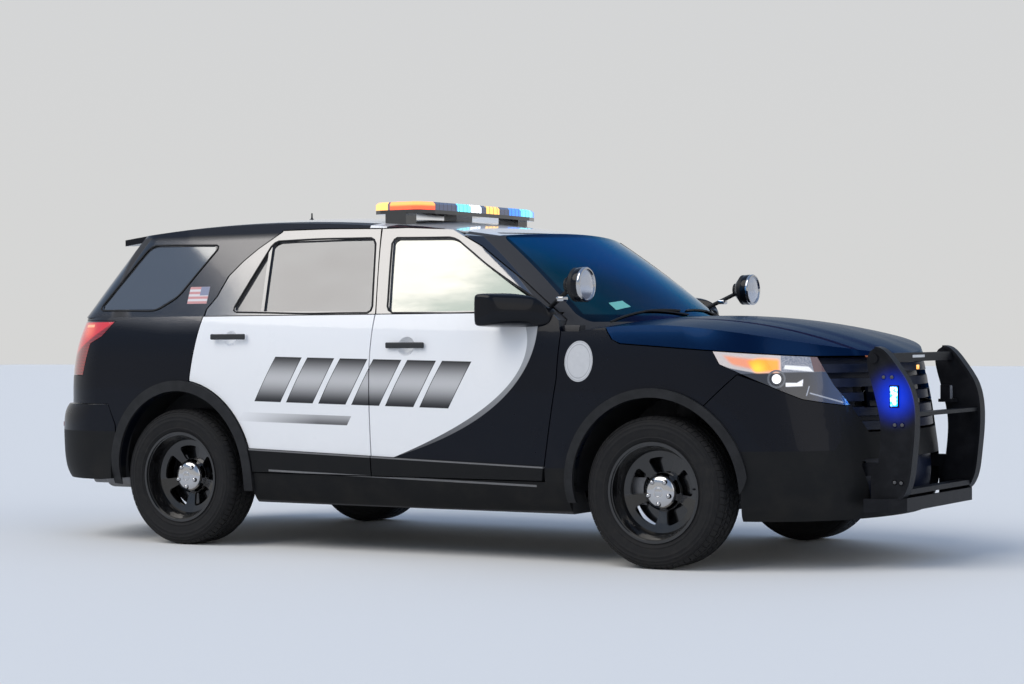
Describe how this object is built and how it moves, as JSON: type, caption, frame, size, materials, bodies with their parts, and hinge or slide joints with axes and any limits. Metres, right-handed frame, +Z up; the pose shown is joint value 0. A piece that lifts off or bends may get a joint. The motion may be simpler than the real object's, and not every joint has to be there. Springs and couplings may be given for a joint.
{
  "type": "police patrol suv",
  "caption": "Three-row patrol SUV with opening doors, hood and liftgate, steered wheels, a roof light bar, spot lamps and a push bumper.",
  "frame": {"origin": "on the ground, at the centre of the footprint, midway between the push bumper's front and the rear bumper's rear; mid-wheelbase is 27 mm forward of it", "axes": "+X forward, +Y to the vehicle's left, +Z up"},
  "size_m": [5.1658, 2.2992, 1.816],
  "materials": {
    "black_paint": "gloss",
    "white_paint": "gloss",
    "dark_trim": "matte",
    "steel_wheel": "satin",
    "tyre": "matte",
    "glass": "gloss",
    "lamp_clear": "gloss",
    "lamp_red": "gloss",
    "chassis": "satin",
    "cast_metal": "satin",
    "cabin_plastic": "matte",
    "cloth": "matte"
  },
  "bodies": {
    "body": {"arch_flares": "dark_trim", "body_side_left": "black_paint", "body_side_right": "black_paint", "cowl": "dark_trim", "dashboard": "cabin_plastic", "engine": "cast_metal", "exhaust": "cast_metal", "fenders": "black_paint", "front_bumper": "black_paint", "front_seats": "cloth", "front_struts": "chassis", "front_subframe": "chassis", "grille": "dark_trim", "headlamps": "lamp_clear", "light_bar": "lamp_clear", "push_bumper": "dark_trim", "quarter_glass": "glass", "rear_bumper": "black_paint", "rear_seat": "cloth", "rear_suspension": "chassis", "roof": "white_paint", "spotlights": "dark_trim", "tail_lamps": "lamp_red", "underbody": "chassis", "wheel_liners": "dark_trim", "windscreen": "glass"},
    "door_front_right": {"door_front_right": "white_paint", "door_glass_front_right": "glass", "mirror_right": "dark_trim"},
    "door_rear_right": {"door_rear_right": "white_paint", "door_glass_rear_right": "glass"},
    "knuckle_right": {"knuckle_right": "cast_metal"},
    "wheel_front_right": {"wheel_front_right": "steel_wheel", "tyre_front_right": "tyre"},
    "wheel_rear_right": {"wheel_rear_right": "steel_wheel", "tyre_rear_right": "tyre"},
    "door_front_left": {"door_front_left": "white_paint", "door_glass_front_left": "glass", "mirror_left": "dark_trim"},
    "door_rear_left": {"door_rear_left": "white_paint", "door_glass_rear_left": "glass"},
    "knuckle_left": {"knuckle_left": "cast_metal"},
    "wheel_front_left": {"wheel_front_left": "steel_wheel", "tyre_front_left": "tyre"},
    "wheel_rear_left": {"wheel_rear_left": "steel_wheel", "tyre_rear_left": "tyre"},
    "liftgate": {"liftgate": "black_paint", "liftgate_glass": "glass"},
    "hood": {"hood": "black_paint"},
    "steering_wheel": {"steering_wheel": "cabin_plastic"}
  },
  "joints": [
    {"name": "door_front_right_hinge", "type": "hinge", "parent": "body", "child": "door_front_right", "pos_m": [0.953, -0.988, 0.8], "axis": [0, 0, 1], "range_deg": [0, 65]},
    {"name": "door_rear_right_hinge", "type": "hinge", "parent": "body", "child": "door_rear_right", "pos_m": [-0.151, -0.988, 0.8], "axis": [0, 0, 1], "range_deg": [0, 68]},
    {"name": "knuckle_right_steer", "type": "hinge", "parent": "body", "child": "knuckle_right", "pos_m": [1.459, -0.73, 0.3635], "axis": [0, 0, 1], "range_deg": [-34, 34]},
    {"name": "wheel_front_right_spin", "type": "hinge", "parent": "knuckle_right", "child": "wheel_front_right", "pos_m": [1.459, -0.851, 0.3635], "axis": [0, 1, 0], "continuous": true},
    {"name": "wheel_rear_right_spin", "type": "hinge", "parent": "body", "child": "wheel_rear_right", "pos_m": [-1.405, -0.851, 0.3635], "axis": [0, 1, 0], "continuous": true},
    {"name": "door_front_left_hinge", "type": "hinge", "parent": "body", "child": "door_front_left", "pos_m": [0.953, 0.988, 0.8], "axis": [0, 0, -1], "range_deg": [0, 65]},
    {"name": "door_rear_left_hinge", "type": "hinge", "parent": "body", "child": "door_rear_left", "pos_m": [-0.151, 0.988, 0.8], "axis": [0, 0, -1], "range_deg": [0, 68]},
    {"name": "knuckle_left_steer", "type": "hinge", "parent": "body", "child": "knuckle_left", "pos_m": [1.459, 0.73, 0.3635], "axis": [0, 0, 1], "range_deg": [-34, 34]},
    {"name": "wheel_front_left_spin", "type": "hinge", "parent": "knuckle_left", "child": "wheel_front_left", "pos_m": [1.459, 0.851, 0.3635], "axis": [0, 1, 0], "continuous": true},
    {"name": "wheel_rear_left_spin", "type": "hinge", "parent": "body", "child": "wheel_rear_left", "pos_m": [-1.405, 0.851, 0.3635], "axis": [0, 1, 0], "continuous": true},
    {"name": "hood_hinge", "type": "hinge", "parent": "body", "child": "hood", "pos_m": [1.179, 0, 1.199], "axis": [0, -1, 0], "range_deg": [0, 55]},
    {"name": "liftgate_hinge", "type": "hinge", "parent": "body", "child": "liftgate", "pos_m": [-1.865, 0, 1.729], "axis": [0, 1, 0], "range_deg": [0, 80]},
    {"name": "steering_wheel_turn", "type": "hinge", "parent": "body", "child": "steering_wheel", "pos_m": [0.547, 0.372, 0.985], "axis": [-0.9135, 0, 0.4067], "range_deg": [-510, 510]}
  ],
  "couplings": [
    {"joint": "knuckle_left_steer", "follows": "knuckle_right_steer", "ratio": 1},
    {"joint": "steering_wheel_turn", "follows": "knuckle_right_steer", "ratio": 15}
  ]
}
